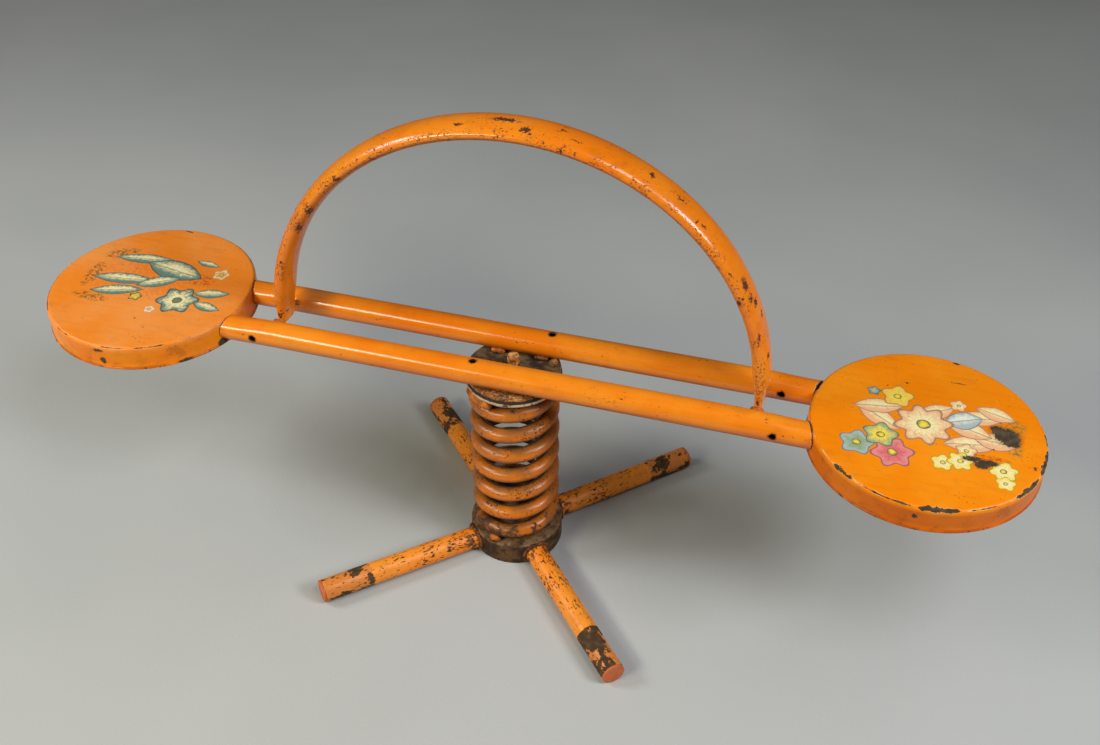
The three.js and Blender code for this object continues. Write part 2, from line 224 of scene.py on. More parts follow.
class Shade:
    """A material's node tree, written as short calls. Sockets or plain values go in, a socket comes out."""

    def __init__(self, name):
        self.material = bpy.data.materials.new(name)
        self.material.use_nodes = True
        self.tree = self.material.node_tree
        self.tree.nodes.clear()
        coordinates = self.put("TexCoord").outputs
        self.point = coordinates["Object"]
        self.normal = coordinates["Normal"]

    def put(self, kind, inputs=None, **settings):
        node = self.tree.nodes.new("ShaderNode" + kind)
        for key, value in settings.items():
            setattr(node, key, value)
        for key, value in (inputs or {}).items():
            self.feed(node.inputs[key], value)
        return node

    def feed(self, socket, value):
        if isinstance(value, bpy.types.NodeSocket):
            self.tree.links.new(value, socket)
        else:
            socket.default_value = value

    def math(self, operation, *values):
        return self.put("Math", dict(enumerate(values)), operation=operation).outputs[0]

    def chain(self, operation, first, *others):
        """One operation, carried on over any number of values."""
        for other in others:
            first = self.math(operation, first, other)
        return first

    def times(self, *values):
        return self.chain("MULTIPLY", *values)

    def plus(self, *values):
        return self.chain("ADD", *values)

    def minus(self, first, second):
        return self.math("SUBTRACT", first, second)

    def most(self, *masks):
        return self.chain("MAXIMUM", *masks)

    def scaled(self, value, factor, offset):
        return self.math("MULTIPLY_ADD", value, factor, offset)

    def vector(self, operation, *values):
        return self.put("VectorMath", dict(enumerate(values)), operation=operation).outputs[0]

    def split(self, vector):
        return self.put("SeparateXYZ", {0: vector}).outputs

    def join(self, x, y, z=0.0):
        return self.put("CombineXYZ", {0: x, 1: y, 2: z}).outputs[0]

    def dot(self, first, second):
        return self.put("VectorMath", {0: first, 1: second}, operation="DOT_PRODUCT").outputs["Value"]

    def length(self, vector):
        return self.put("VectorMath", {0: vector}, operation="LENGTH").outputs["Value"]

    def facing(self, direction):
        """How squarely the surface faces a direction: 1 head on and -1 from behind."""
        return self.dot(self.normal, self.vector("NORMALIZE", direction))

    def rise(self, value, low, high):
        """0 below low and 1 above high, smooth between. It falls instead where low is above high."""
        inputs = {0: value, 1: low, 2: high, 3: 0.0, 4: 1.0}
        return self.put("MapRange", inputs, interpolation_type="SMOOTHSTEP").outputs[0]

    def past(self, value, low, high):
        """The same for a length in metres, with the limits in millimetres."""
        return self.rise(value, low * MM, high * MM)

    def mix(self, share, first, second, blend="MIX"):
        inputs = {0: share, 6: first, 7: second}
        return self.put("Mix", inputs, data_type="RGBA", blend_type=blend).outputs[2]

    def over(self, colour, tone, *masks):
        """A tone laid over the colour where all the masks are high."""
        return self.mix(self.times(*masks), colour, tone)

    def between(self, share, first, second):
        """A number that goes from first to second with the share."""
        return self.put("Mix", {0: share, 2: first, 3: second}, data_type="FLOAT").outputs[0]

    def noise(self, scale, detail=4.0, rough=0.55, point=None, output=0):
        inputs = {"Vector": point or self.point, "Scale": scale, "Detail": detail, "Roughness": rough}
        return self.put("TexNoise", inputs).outputs[output]

    def patches(self, low, high, *noise):
        """A mask of soft spots, where a noise rises from low to high."""
        return self.rise(self.noise(*noise), low, high)

    def warped(self, amount, scale, point=None):
        """The point, shaken by noise, so that shapes drawn with it get ragged edges."""
        shake = self.vector("SUBTRACT", self.noise(scale, 3.0, 0.6, point, output=1), (0.5, 0.5, 0.5))
        moved = self.put("VectorMath", {0: shake, "Scale": amount * MM}, operation="SCALE").outputs[0]
        return self.vector("ADD", point or self.point, moved)

    def placed(self, point, centre, size, turn=0.0):
        """The point in a shape's own units: 1 is the shape's edge."""
        inputs = {
            0: point,
            "Location": [c * MM for c in centre],
            "Rotation": (0, 0, math.radians(turn)),
            "Scale": [s * MM for s in size],
        }
        return self.put("Mapping", inputs, vector_type="TEXTURE").outputs[0]

    def spots(self, point, marks):
        """How far the point is from the nearest mark, where 1 is that mark's edge."""
        marks = [(centre, size if isinstance(size, tuple) else (size,) * 3) for centre, size in marks]
        return self.chain("MINIMUM", *[self.length(self.placed(point, *mark)) for mark in marks])

    def finish(self, colour, roughness, height, relief, specular=0.5):
        """Ends the tree in one shader. relief is the bump's height in millimetres."""
        bump = self.put("Bump", {"Strength": 1.0, "Distance": relief * MM, "Height": height})
        shader = self.put("BsdfPrincipled", {
            "Base Color": colour,
            "Roughness": roughness,
            "Metallic": 0.0,
            "Specular IOR Level": specular,
            "Normal": bump.outputs[0],
        })
        out = self.put("OutputMaterial")
        self.tree.links.new(shader.outputs[0], out.inputs[0])
        return self.material


# ---- paint ----

RUST_DARK = rgb(42, 28, 16)
RUST_GREY = rgb(84, 68, 50)
SCRAPED = rgb(84, 74, 58)
PITTED = rgb(96, 38, 4)
STAIN = rgb(128, 58, 16)
DIRT = rgb(92, 58, 26)
PRIMER = rgb(238, 204, 150)
ORANGE = rgb(228, 120, 12)
ORANGE_PALE = rgb(234, 138, 28)


def bare_metal(shade, worn=RUST_GREY):
    """Old dark metal, in patches of a worn tone and a darker one."""
    dark = shade.mix(0.6, worn, RUST_DARK)
    return shade.mix(shade.patches(0.42, 0.62, 130, 5.0, 0.6), dark, worn)


def aged(shade, paint, faded, dirt, cover):
    """The colour of old paint, faded in patches, streaked and grimy, and the grime's mask."""
    colour = shade.mix(shade.patches(0.38, 0.66, 8, 3.0), paint, faded)
    strokes = shade.noise(150, 4.0, 0.6, shade.vector("MULTIPLY", shade.point, (0.12, 1, 1)))
    strokes = shade.times(shade.rise(strokes, 0.48, 0.68), 0.2)
    colour = shade.mix(strokes, colour, shade.mix(1.0, colour, rgb(226, 190, 150), "MULTIPLY"))
    grime = shade.patches(0.5, 0.74, 34, 6.0, 0.68)
    colour = shade.over(colour, DIRT, grime, dirt)
    if cover:
        colour = cover(shade, colour)
    return colour, grime


def losses(shade, chips, pits, grain, marks, tatter):
    """Masks of where the paint is gone, and of the stain round those places."""
    ragged = shade.warped(6.0, 230)
    flake = shade.noise(75, 7.0, 0.62, shade.vector("MULTIPLY", ragged, grain))
    speck = shade.noise(400, 3.0, 0.6, shade.vector("MULTIPLY", shade.point, grain))
    speck = shade.plus(speck, shade.times(shade.patches(0.44, 0.64, 26, 2.0), 0.1))
    gone = shade.most(shade.rise(flake, chips, chips + 0.008), shade.rise(speck, pits, pits + 0.02))
    halo = shade.most(shade.rise(flake, chips - 0.05, chips), shade.rise(speck, pits - 0.06, pits))
    if marks:
        torn = shade.scaled(shade.noise(380, 5.0, 0.7), 2 * tatter, -tatter)
        away = shade.plus(shade.spots(ragged, marks), torn)
        gone = shade.most(gone, shade.rise(away, 1.02, 0.96))
        halo = shade.most(halo, shade.rise(away, 1.5, 1.0))
    return gone, halo


def enamel(shade, paint, faded, relief, *, chips=0.7, pits=0.7, dirt=0.3, gloss=0.3, specular=0.5,
           grain=(1, 1, 1), marks=(), tatter=0.4, bare=None, pale=None, cover=None, metal=RUST_GREY):
    """Worn enamel. chips and pits are noise levels, higher for fewer, and grain stretches them.
    marks are (centre, size) bare spots, more broken up with more tatter. bare and pale are masks worn to
    the metal and to the primer, and cover draws over the paint before it wears."""
    colour, grime = aged(shade, paint, faded, dirt, cover)
    gone, halo = losses(shade, chips, pits, grain, marks, tatter)
    if bare is not None:
        gone = shade.most(gone, bare)
    colour = shade.over(colour, STAIN, halo, 0.4)
    if pale is not None:
        colour = shade.mix(pale, colour, PRIMER)
    colour = shade.mix(gone, colour, bare_metal(shade, metal))

    soft = shade.scaled(shade.noise(22, 4.0), 0.14, gloss - 0.07)
    soft = shade.scaled(grime, 0.25 * dirt, soft)
    ripple = shade.times(shade.noise(190, 2.0), 0.06)
    pitted = shade.times(shade.noise(520, 4.0, 0.7), gone, 0.45)
    height = shade.minus(shade.plus(ripple, pitted), shade.times(gone, 0.6))
    return shade.finish(colour, shade.between(gone, soft, 0.82), height, relief, specular)


def shaded_below(shade, colour):
    """Painted shade: paint turned darker brown where it faces the floor."""
    below = shade.rise(shade.split(shade.normal)[2], 0.0, -0.7)
    return shade.over(colour, rgb(150, 66, 4), below, 0.7)


def rusted(name, light, dark, *, scale=60, relief=0.5, tint=None, gloss=0.75):
    """Rough rusty steel, from light patches to dark ones. tint is (mask maker, colour) laid over it."""
    shade = Shade(name)
    patch = shade.noise(scale, 7.0, 0.68)
    colour = shade.mix(shade.rise(patch, 0.4, 0.62), dark, light)
    grain = shade.noise(scale * 7, 5.0, 0.75)
    if tint:
        mask, over = tint
        colour = shade.mix(mask(shade), colour, over)
    colour = shade.over(colour, RUST_DARK, shade.rise(grain, 0.5, 0.66), 0.7)
    height = shade.scaled(grain, 0.6, patch)
    roughness = shade.scaled(patch, 0.25, gloss - 0.12)
    return shade.finish(colour, roughness, height, relief, specular=0.3)


# ---- seats ----

CREAM = rgb(238, 226, 172)
SLATE = rgb(96, 130, 124)
INK = rgb(36, 38, 28)
OLIVE = rgb(124, 112, 62)
BLUSH = rgb(232, 178, 136)
PINK = rgb(214, 108, 112)
LEMON = rgb(236, 212, 84)
SAGE = rgb(142, 166, 132)
SKY = rgb(166, 182, 184)
WHITE = rgb(226, 228, 214)


def in_shape(shade, centre, size, turn):
    """The drawing's point in the units of one flat shape, where 1 is its edge."""
    return shade.placed(shade.drawing, (*centre, 0), (*size, 1e6), turn)


def drawn(shade, colour, edge, fill, rim, line=0.6):
    """Lays one shape over the colour. edge is 0 at its middle and 1 at its outline."""
    tone = shade.mix(shade.rise(shade.plus(edge, shade.brush), 0.3, 1.0), fill, rim)
    outline = shade.times(shade.rise(edge, 0.86, 0.97), line)
    tone = shade.over(tone, INK, outline, shade.flecks)
    return shade.over(colour, tone, shade.rise(edge, 1.04, 0.98), shade.flecks)


def blossom(shade, colour, centre, size, petals, fill, rim, heart=LEMON):
    """A round flower: petals round a small heart, with a crease down each petal."""
    place = in_shape(shade, centre, (size, size), 15)
    x, y, _ = shade.split(place)
    bearing = shade.times(shade.math("ARCTAN2", y, x), float(petals))
    reach = shade.scaled(shade.math("COSINE", bearing), 0.13, 0.87)
    away = shade.length(place)
    colour = drawn(shade, colour, shade.math("DIVIDE", away, reach), fill, rim)
    crease = shade.rise(shade.math("ABSOLUTE", shade.math("SINE", shade.times(bearing, 0.5))), 0.12, 0.02)
    crease = shade.times(crease, shade.rise(away, 0.7, 0.5))
    colour = shade.over(colour, INK, crease, 0.4)
    return drawn(shade, colour, shade.times(away, 4.4), heart, OLIVE)


def leaf(shade, colour, centre, size, turn, light, dark):
    """A pointed leaf, one half lighter than the other. size is (half length, half width)."""
    place = in_shape(shade, centre, size, turn)
    x, y, _ = shade.split(place)
    edge = shade.plus(shade.times(x, x), shade.math("ABSOLUTE", y))
    halves = shade.mix(shade.rise(shade.plus(y, shade.brush), -0.6, 0.2), dark, light)
    colour = drawn(shade, colour, edge, halves, dark)
    rib = shade.rise(shade.math("ABSOLUTE", y), 0.09, 0.03)
    rib = shade.times(rib, shade.rise(edge, 0.9, 0.8))
    return shade.over(colour, INK, rib, 0.5)


def patch(shade, colour, centre, size, turn, tone, strength):
    """A soft scribbled patch."""
    away = shade.length(in_shape(shade, centre, size, turn))
    mask = shade.times(shade.rise(away, 1.0, 0.55), shade.scribble)
    return shade.over(colour, tone, mask, strength)


def prepare_drawing(shade, warp):
    """The noises that all shapes of one transfer share: ragged lines, brush marks and worn flecks."""
    shade.drawing = shade.warped(warp, 70)
    shade.brush = shade.scaled(shade.noise(210, 4.0, 0.65), 1.5, -0.75)
    shade.flecks = shade.patches(0.3, 0.36, 420, 3.0, 0.7)
    shade.scribble = shade.patches(0.46, 0.56, 230, 5.0, 0.7)


def left_transfer(shade, colour):
    """A faded spray of slate and cream leaves with four blossoms."""
    prepare_drawing(shade, 3.0)
    brown = rgb(112, 88, 48)
    for shape in [
        ((-20, 12), (88, 58), 8, rgb(214, 104, 54), 0.5), ((54, 26), (22, 14), 0, rgb(176, 78, 40), 0.8),
        ((-72, 52), (26, 13), 30, brown, 0.85), ((-84, 2), (11, 32), 0, brown, 0.85),
        ((-62, -42), (30, 10), -4, brown, 0.85),
    ]:
        colour = patch(shade, colour, *shape)
    for shape in [
        ((-38, 49), (40, 10), 8), ((-42, 3), (42, 11), 7), ((-38, -21), (34, 10), 16),
        ((12, 36), (42, 19), -10), ((4, 8), (28, 11), 30), ((46, 60), (17, 6), -8),
        ((80, 3), (24, 9), 14), ((86, -23), (20, 8), -8),
    ]:
        colour = leaf(shade, colour, *shape, CREAM, SLATE)
    dots = shade.put("TexVoronoi", {"Vector": shade.drawing, "Scale": 180.0}).outputs["Distance"]
    near = shade.length(in_shape(shade, (22, 38), (26, 13), -10))
    colour = shade.over(colour, WHITE, shade.rise(dots, 0.32, 0.22), shade.rise(near, 1.0, 0.75))
    for shape in [
        ((46, -20), 27, 6, CREAM, SLATE, SLATE), ((73, 43), 11, 5, rgb(222, 150, 84), CREAM),
        ((22, -46), 7, 5, rgb(226, 164, 120), WHITE), ((-8, -27), 9, 5, LEMON, OLIVE),
    ]:
        colour = blossom(shade, colour, *shape)
    return colour


def right_transfer(shade, colour):
    """Pastel blossoms with cream leaves, like a hedge flower spray."""
    prepare_drawing(shade, 2.5)
    for centre, size, tone in [
        ((88, 24), (20, 17), rgb(120, 116, 60)), ((92, -8), (10, 24), OLIVE),
        ((60, -34), (34, 7), rgb(188, 84, 30)),
    ]:
        colour = patch(shade, colour, centre, size, 0, tone, 0.9)
    for shape in [
        ((-52, 2), (29, 13), -34), ((-54, 20), (28, 12), 10), ((54, 28), (28, 12), 12),
        ((72, 40), (22, 11), -16), ((48, -16), (32, 13), 12), ((72, -6), (24, 14), -4),
        ((42, 8), (28, 14), -20), ((8, 26), (24, 12), 34),
    ]:
        colour = leaf(shade, colour, *shape, CREAM, BLUSH)
    colour = leaf(shade, colour, (38, 20), (22, 14), 24, WHITE, SKY)
    for shape in [
        ((-72, -46), 20, 5, SAGE, SKY), ((-34, -52), 24, 6, PINK, rgb(226, 140, 140)),
        ((-48, -27), 20, 5, LEMON, SAGE), ((-34, 42), 19, 5, LEMON, rgb(240, 190, 90)),
        ((-60, 45), 8, 5, SKY, SLATE), ((-4, 2), 33, 8, CREAM, BLUSH), ((32, 44), 10, 5, CREAM, BLUSH),
        ((42, -28), 12, 5, CREAM, BLUSH), ((18, -53), 13, 5, CREAM, LEMON),
        ((36, -46), 15, 6, CREAM, LEMON), ((80, -50), 16, 6, CREAM, LEMON),
        ((82, -68), 11, 5, CREAM, LEMON),
    ]:
        colour = blossom(shade, colour, *shape)
    return colour


# Bare spots are (centre, size), in millimetres from the middle of a seat's top.
LEFT_MARKS = [
    ((0, -127, -7), (6, 3, 2.2)), ((4, -127, -21), (3.5, 3, 5)), ((-14, 120, 0), (6, 1.2, 2)),
    ((14, -67, 0), 1.2), ((34, -80, 0), 0.9), ((92, -92, -30), (9, 9, 2)), ((118, -48, -27), (4, 8, 4)),
]
# Worn stretches of a seat's edge are (bearing, half width, reach), in degrees and millimetres.
LEFT_RIM = [
    (168, 14, 1.4), (-172, 12, 1.5), (-150, 11, 1.3), (-118, 7, 0.9), (-62, 8, 1.0), (-84, 4, 0.9),
    (122, 6, 1.1), (60, 7, 1.0),
]
RIGHT_MARKS = [
    ((84, 6, 0), (14, 13, 2)), ((74, 14, 0), (8, 7, 2)), ((88, -4, 0), (9, 6, 2)),
    ((48, -39, 0), (10, 4, 2)), ((58, -45, 0), (8, 7, 2)), ((66, -41, 0), (9, 4, 2)),
    ((112, -37, 0), (1.6, 3, 2)), ((-5, -127, -13), (2.6, 3, 2.8)), ((28, 119, 0), (4, 1.5, 2)),
    ((30, 83, 0), (9, 0.7, 1)), ((-25, 68, 0), 1.3), ((-46, 58, 0), 0.8), ((70, -18, 0), 1.0),
]
RIGHT_RIM = [
    (-131, 6, 3.4), (-107, 12, 1.3), (-82, 9, 4.6), (-62, 5, 1.2), (-33, 9, 3.4), (-11, 9, 3.6),
    (6, 4, 2.4), (163, 4, 2.2), (140, 4, 1.0), (77, 4, 1.2),
]
# side is a tone multiplied over each seat's side: painted shade, deeper on the right seat.
SEATS = {
    "left": {
        "end": -1, "paint": rgb(234, 132, 36), "faded": rgb(236, 148, 70), "side": rgb(255, 244, 96),
        "transfer": left_transfer, "marks": LEFT_MARKS, "rim": LEFT_RIM, "chips": 0.78, "primer": 0.15,
    },
    "right": {
        "end": 1, "paint": rgb(236, 130, 4), "faded": rgb(242, 144, 20), "side": rgb(228, 206, 90),
        "transfer": right_transfer, "marks": RIGHT_MARKS, "rim": RIGHT_RIM, "chips": 0.77, "primer": 0.6,
    },
}


def rim_wear(shade, windows):
    """How deep wear bites at a seat's top edge, in metres from its outline; above 0 is worn away."""
    x, y, z = shade.split(shade.point)
    outward = shade.join(x, y)
    bearing = shade.vector("NORMALIZE", outward)
    reach = shade.times(shade.patches(0.46, 0.6, 18, 2.0), 0.7 * MM)
    for degrees, half, depth in windows:
        toward = shade.dot(bearing, polar(1, math.radians(degrees), 0).tolist())
        low, high = (math.cos(math.radians(half * share)) for share in (1.15, 0.75))
        reach = shade.most(reach, shade.times(shade.rise(toward, low, high), depth * MM))
    ridge = 0.3 * SEAT["edge"] * MM
    aside = shade.minus(shade.length(outward), SEAT["radius"] * MM - ridge)
    down = shade.times(shade.plus(z, ridge), 1.3)
    ragged = shade.scaled(shade.noise(120, 6.0, 0.65), 4.0, -1.3)
    return shade.minus(shade.times(reach, ragged), shade.length(shade.join(aside, down)))


def seat_material(side, look):
    """Painted pan, with a rusty underside, a transfer on its top and painted shade down its side."""
    shade = Shade(f"seat_{side}_enamel")
    x, y, z = shade.split(shade.point)
    upward = shade.split(shade.normal)[2]

    def cover(shade, colour):
        colour = shade.mix(shade.past(z, -1.6, -1.1), colour, look["transfer"](shade, colour))
        smudge = shade.patches(0.5, 0.7, 26, 5.0, 0.65)
        # Painted shade: the side is multiplied by the seat's side tone.
        shaded_flank = shade.past(z, -4, -9)
        colour = shade.mix(shaded_flank, colour, shade.mix(1.0, colour, look["side"], "MULTIPLY"))
        colour = shade.over(colour, rgb(112, 62, 14), smudge, shaded_flank, 0.4)
        seam = shade.times(shade.past(z, -27.5, -29), shade.patches(0.35, 0.55, 30, 3.0))
        return shade.over(colour, rgb(150, 60, 20), seam, 0.6)

    inside = shade.most(
        shade.rise(shade.facing(shade.join(x, y)), -0.4, -0.6),
        shade.times(shade.rise(upward, -0.6, -0.8), shade.past(z, -31, -29)),
    )
    patchy = shade.times(inside, shade.patches(0.44, 0.52, 24, 6.0, 0.7))
    hem = shade.times(shade.patches(0.58, 0.62, 80, 5.0), shade.past(z, -28.5, -30))
    bite = rim_wear(shade, look["rim"])
    scuffed = shade.patches(0.47, 0.57, 60, 4.0)
    return enamel(
        shade, look["paint"], look["faded"], 0.35, chips=look["chips"], pits=0.76, dirt=0.14, gloss=0.34,
        specular=0.22, metal=SCRAPED, marks=look["marks"], cover=cover,
        pale=shade.times(shade.past(bite, -0.8, -0.4), scuffed, look["primer"]),
        bare=shade.most(patchy, hem, shade.past(bite, 0, 0.25)))


def seat_mesh():
    """A pan: flat top, rounded edge, straight side and rolled hem."""
    radius, depth, wall, edge, hem = (SEAT[k] for k in ("radius", "depth", "wall", "edge", "hem"))
    outer = [(r, 0) for r in np.linspace(0.5, radius - edge, 14)]
    outer += arc((radius - edge, -edge), edge, 90, 0, 9)[1:]
    outer += [(radius, z) for z in np.linspace(-edge - 4, 4.6 - depth, 4)]
    outer += arc((radius - 0.3, 2.4 - depth), hem + 0.3, 50, -70, 8)
    outer += [(radius - 0.8, -depth), (radius - wall, -depth)]
    inner = arc((radius - edge, -edge), edge - wall, 0, 90, 6)
    inner += [(r, -wall) for r in np.linspace(radius - edge - 6, 0.5, 12)]
    return dent(loft(turned(outer + inner, 180), crease=50), 0.35, 55)


def build_seats():
    for side, look in SEATS.items():
        piece(f"pan_{side}", seat_mesh(), seat_material(side, look),
              f"seat_{side}", "beam", at=(look["end"] * SEAT["x"], SEAT["y"], SEAT["top"]))


# ---- rails ----

def rail_cutters(side):
    """The seats' rims, a cross hole at each end and a hole on top."""
    rim = turned([(SEAT["radius"] + COPE, z) for z in (250, 340)], 240)
    cross = along_x(turned([(RAIL_HOLES["radius"], y) for y in (-80, 80)], 28))[..., [1, 0, 2]]
    top = turned([(RAIL_HOLES["radius"], z) for z in (RAIL["z"], 340)], 28)
    cutters = []
    for end in (-1, 1):
        cutters.append(loft(rim + (end * SEAT["x"], SEAT["y"], 0)))
        cutters.append(loft(cross + (end * RAIL_HOLES["cross_x"], 0, RAIL["z"])))
    return [*cutters, loft(top + (side * RAIL_HOLES["top_x"], side * RAIL["y"], 0))]


def rail_mesh(side):
    """A tube whose last stretch is pressed a little lower, coped to the seats and drilled."""
    reach = SEAT["x"] - 100
    stations = np.linspace(-reach, reach, 125)
    pressed = RAIL["swage"] * smoothstep(np.abs(stations), RAIL["swage_from"], RAIL["swage_from"] + 60)

    def shell(radius, order):
        rings = along_x(turned([(radius, x) for x in order], 56))
        amount = np.interp(order, stations, pressed)[:, None]
        rings[..., 2] = rings[..., 2] * (1 - amount / radius) - amount
        return rings

    rings = np.concatenate([
        shell(RAIL["radius"], stations),
        shell(RAIL["radius"] - RAIL["wall"], stations[::-1]),
    ])
    return cut(loft(rings + (0, side * RAIL["y"], RAIL["z"]), ends="join"), *rail_cutters(side))


def rail_material(name, side):
    """Orange enamel, dark inside the tube, chipped where the seats' rims rub its ends, with painted shade
    on its underside.
    """
    shade = Shade(f"rail_{name}_enamel")
    x, y, z = shade.split(shade.point)
    middle = side * RAIL["y"]
    outward = shade.join(0.0, shade.minus(y, middle * MM), shade.minus(z, RAIL["z"] * MM))
    inside = shade.rise(shade.facing(outward), 0.35, 0.1)
    out = shade.minus(shade.math("ABSOLUTE", x), SEAT["x"] * MM)
    far = shade.length(shade.join(out, shade.minus(y, SEAT["y"] * MM)))
    gap = shade.past(far, SEAT["radius"] + 1.4, SEAT["radius"] + 0.7)
    rub = shade.plus(far, shade.times(shade.noise(160, 4.0, 0.65), -12 * MM))
    edge = SEAT["radius"] - 5.6

    def cover(shade, colour):
        # A darker brown patch on the rear rail beside the handle's left foot.
        away = shade.length(shade.placed(shade.point, (-262, 37, 300), (30, 26, 26)))
        colour = shade.over(colour, rgb(112, 78, 48), shade.rise(away, 1.2, 0.4), 0.6)
        # Painted shade on the tube's underside.
        return shaded_below(shade, colour)

    marks = [((side * RAIL_HOLES["top_x"], middle, RAIL["z"] + 16.5), (5.2, 4.8, 3))]
    for end in (-1, 1):
        marks.append(((end * RAIL_HOLES["cross_x"], middle - RAIL["radius"], RAIL["z"]), (4.8, 3, 4.8)))
        marks.append(((end * 324, -52, 300), (1.0, 3, 1.0)))
    return enamel(
        shade, ORANGE, ORANGE_PALE, 0.3, chips=0.79, pits=0.76, dirt=0.16, gloss=0.19, grain=(0.5, 1, 1),
        marks=marks, metal=PITTED, cover=cover,
        pale=shade.times(shade.past(rub, edge + 0.9, edge + 0.4), 0.5),
        bare=shade.most(inside, gap, shade.past(rub, edge, edge - 0.4)))


def build_rails():
    for name, side in RAIL_SIDES.items():
        piece(f"rail_tube_{name}", rail_mesh(side), rail_material(name, side),
              f"rail_{name}", "beam")


# ---- handle ----

def arch_line(steps):
    """Centre points and outward normals of the handle, from its right foot to its left one."""
    drop = ARCH["springing"] - ARCH_FOOT["bottom"]
    curved = math.pi * (ARCH["x"] + ARCH["rise"]) / 2
    along = np.linspace(-drop, curved + drop, steps)
    angle = np.clip(math.pi * along / curved, 0, math.pi)
    height = ARCH["rise"] * np.sin(angle)
    below = np.minimum(0, np.minimum(along, curved - along))
    x = ARCH["x"] * np.cos(angle) + ARCH["lean"] * height
    centre = np.stack([x, np.zeros(steps), ARCH["springing"] + height + below], 1)
    tangent = unit(np.gradient(centre, axis=0))
    return centre, np.stack([tangent[:, 2], np.zeros(steps), -tangent[:, 0]], 1)


def arch_shell(centre, outward, inset):
    """Oval sections along the handle, smaller towards its feet."""
    opened = smoothstep(centre[:, 2], ARCH_FOOT["bottom"], ARCH_FOOT["taper_top"])[:, None]
    thick = (ARCH["thick"] - inset) * (ARCH_FOOT["thick"] + (1 - ARCH_FOOT["thick"]) * opened)
    wide = (ARCH["wide"] - inset) * (ARCH_FOOT["wide"] + (1 - ARCH_FOOT["wide"]) * opened)
    return sections(centre, wide * (0, 1, 0), thick * outward, 48)


ARCH_MARKS = [
    ((-3, -2, 609), (13, 3, 2)), ((-50, -12, 602), (4.5, 2, 2)), ((23, -13, 607), (4.5, 4, 3)),
    ((59, 0, 606), (3.5, 2, 2)), ((61, -23, 595), (2.5, 2, 2)), ((78, -10, 601), (8, 0.8, 2)),
    ((-228, -19, 470), (4, 4, 10)), ((-244, -19, 446), (4, 4, 9)), ((-273, -23, 395), (1.6, 2, 2.4)),
    ((-189, -22, 520), (4, 3, 3)), ((-146, -21, 552), (5, 3, 2)), ((152, -3, 571), (3, 4, 2)),
    ((183, -6, 551), (4, 1.4, 3)), ((210, -12, 526), (5, 1.2, 3)), ((203, -14, 531), (1.2, 5, 1.2)),
    ((259, -12, 463), (4, 4, 8)), ((267, -14, 448), (3, 4, 4)), ((256, -20, 446), (3, 4, 5)),
    ((271, -8, 440), (2, 4, 4)), ((280, -4, 430), (2, 3, 7)), ((293, -10, 375), (2, 3, 4)),
    ((281, -20, 400), (1, 2, 10)), ((226, -21, 480), (3, 3, 4)), ((180, -22, 529), (5, 3, 3)),
]


def arch_material():
    shade = Shade("handle_enamel")
    x, y, z = shade.split(shade.point)
    low = shade.times(shade.past(z, 345, 305), 0.14)
    foot = shade.rise(shade.plus(shade.noise(110, 5.0, 0.65), low), 0.7, 0.715)
    front = shade.times(shade.past(y, -14, -22), shade.patches(0.45, 0.55, 40, 4.0))
    left = shade.times(shade.past(x, -200, -250), shade.rise(shade.facing((-0.8, -0.6, 0)), 0.4, 0.8))
    grit = shade.patches(0.55, 0.58, 360, 5.0, 0.75)
    # Painted shade darkens the handle's underside, through its cover.
    return enamel(
        shade, ORANGE, ORANGE_PALE, 0.35, chips=0.755, pits=0.735, dirt=0.18, gloss=0.18, metal=PITTED,
        marks=ARCH_MARKS, tatter=2.8, cover=shaded_below,
        bare=shade.most(foot, shade.times(shade.most(front, left), grit)))


def build_handle():
    centre, outward = arch_line(260)
    outside = arch_shell(centre, outward, 0)
    inside = arch_shell(centre, outward, ARCH_FOOT["wall"])
    mesh = loft(np.concatenate([outside, inside[::-1]]), ends="join", crease=60)
    piece("handle_tube", mesh, arch_material(), "handle_arch", "beam")


# ---- spring ----

def wire_height(turn):
    """Height of the wire's centre, `turn` whole turns after the lowest front coil."""
    climb = SPRING["front_height"] + SPRING["pitch"] * turn
    seat = HUB["height"] + SNUG + SPRING["wire"]
    if turn <= SPRING["turns"]:
        return max(seat, climb)
    ceiling = PLATE_LOWER["bottom"] - SNUG - SPRING["wire"]
    start = SPRING["front_height"] + SPRING["pitch"] * SPRING["turns"]
    share = (turn - SPRING["turns"]) / SPRING_TIP
    slope = SPRING["pitch"] * SPRING_TIP
    return start + slope * share + (ceiling - start - slope) * share * share * (1.7 - 0.7 * share)


def wire_mesh(first, last, blunt_first, blunt_last):
    """One length of the wire. A blunt end is the wire's own, with its edge worn round."""
    steps = round((last - first) * 72)
    turns, share = np.linspace(first, last, steps + 1), np.ones(steps + 1)
    turn = 289  # length of one turn
    inset, worn = np.array([0, 0.25, 0.9]) / turn, np.array([0.86, 0.95, 1.0])
    if blunt_first:
        turns = np.concatenate([first + inset, turns[1:]])
        share = np.concatenate([worn, share[1:]])
    if blunt_last:
        turns = np.concatenate([turns[:-1], last - inset[::-1]])
        share = np.concatenate([share[:-1], worn[::-1]])
    angle = math.radians(SPRING["front"]) + turns * 2 * math.pi
    radial = polar(1, angle, 0)
    path = polar(SPRING["mean"], angle, [wire_height(t) for t in turns])
    step = 1e-3
    slope = np.array([wire_height(t + step) - wire_height(t - step) for t in turns]) / (2 * step)
    forward = unit(polar(1, angle + math.pi / 2, slope / (2 * math.pi * SPRING["mean"])))
    radius = SPRING["wire"] * share[:, None]
    return loft(sections(path, radius * radial, radius * np.cross(radial, forward), 32), crease=50)


